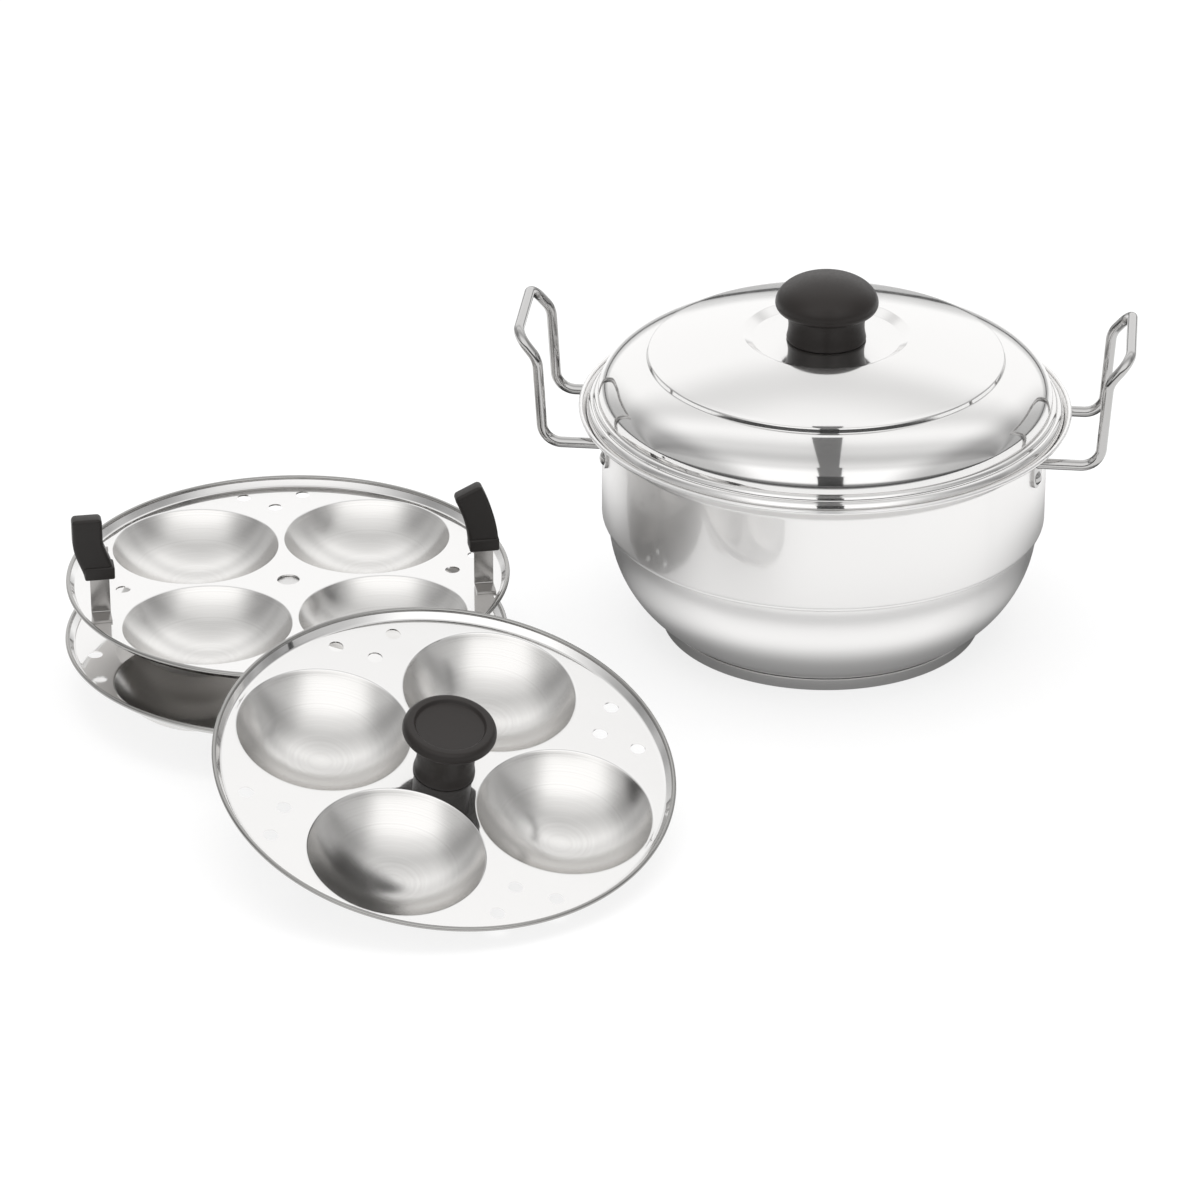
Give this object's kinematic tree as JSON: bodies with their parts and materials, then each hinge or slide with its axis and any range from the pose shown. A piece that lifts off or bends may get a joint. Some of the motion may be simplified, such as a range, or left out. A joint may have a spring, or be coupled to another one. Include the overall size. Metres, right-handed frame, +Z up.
{
  "type": "idli steamer",
  "caption": "Stovetop steamer pot with wire handles and a domed lid with a knob, beside stacked plates with round cavities and a knobbed plate leaning on them.",
  "frame": {"origin": "centre of the underside of the pot's base disc, on the surface that every piece stands on", "axes": "+Z up along the pot's axis, +X to the right of the picture, away from the plates, +Y to the back"},
  "size_m": [0.4782, 0.4094, 0.1697],
  "materials": {
    "polished_steel": "mirror polished stainless steel sheet",
    "satin_steel": "satin stainless steel sheet",
    "steel_wire": "polished stainless steel wire and fittings",
    "base_steel": "brushed stainless steel cap",
    "core_aluminium": "plain aluminium disc",
    "bakelite": "moulded black bakelite",
    "grip_bakelite": "moulded dark brown-black bakelite",
    "brass_insert": "turned brass"
  },
  "bodies": {
    "pot": {"pot_shell": "polished_steel", "base_core": "core_aluminium", "base_cap": "base_steel", "handle_wire_left": "steel_wire", "handle_wire_right": "steel_wire", "bracket_left_back": "steel_wire", "bracket_left_front": "steel_wire", "bracket_right_back": "steel_wire", "bracket_right_front": "steel_wire", "bracket_rivets": "steel_wire"},
    "lid": {"lid_shell": "polished_steel", "lid_knob": "bakelite", "lid_knob_insert": "brass_insert", "lid_knob_screw": "steel_wire", "lid_knob_washer": "steel_wire"},
    "lower_plate_set": {"lower_plate": "polished_steel", "spacer_cup": "satin_steel"},
    "upper_plate_set": {"upper_plate": "polished_steel", "strip_left": "polished_steel", "strip_right": "polished_steel", "grip_left": "grip_bakelite", "grip_right": "grip_bakelite"},
    "leaning_plate_set": {"leaning_plate": "polished_steel", "plate_knob": "bakelite", "plate_knob_insert": "brass_insert", "plate_knob_screw": "steel_wire", "plate_knob_washer": "steel_wire"}
  },
  "joints": [
    {"name": "lid_lift", "type": "slide", "parent": "pot", "child": "lid", "axis": [0, 0, 1], "range_m": [0, 0.16]},
    {"name": "lower_plate_lift", "type": "slide", "parent": "pot", "child": "lower_plate_set", "axis": [0, 0, 1], "range_m": [0, 0.12]},
    {"name": "upper_plate_lift", "type": "slide", "parent": "lower_plate_set", "child": "upper_plate_set", "axis": [0, 0, 1], "range_m": [0, 0.12]},
    {"name": "leaning_plate_lift", "type": "slide", "parent": "upper_plate_set", "child": "leaning_plate_set", "axis": [0, 0, 1], "range_m": [0, 0.12]}
  ]
}
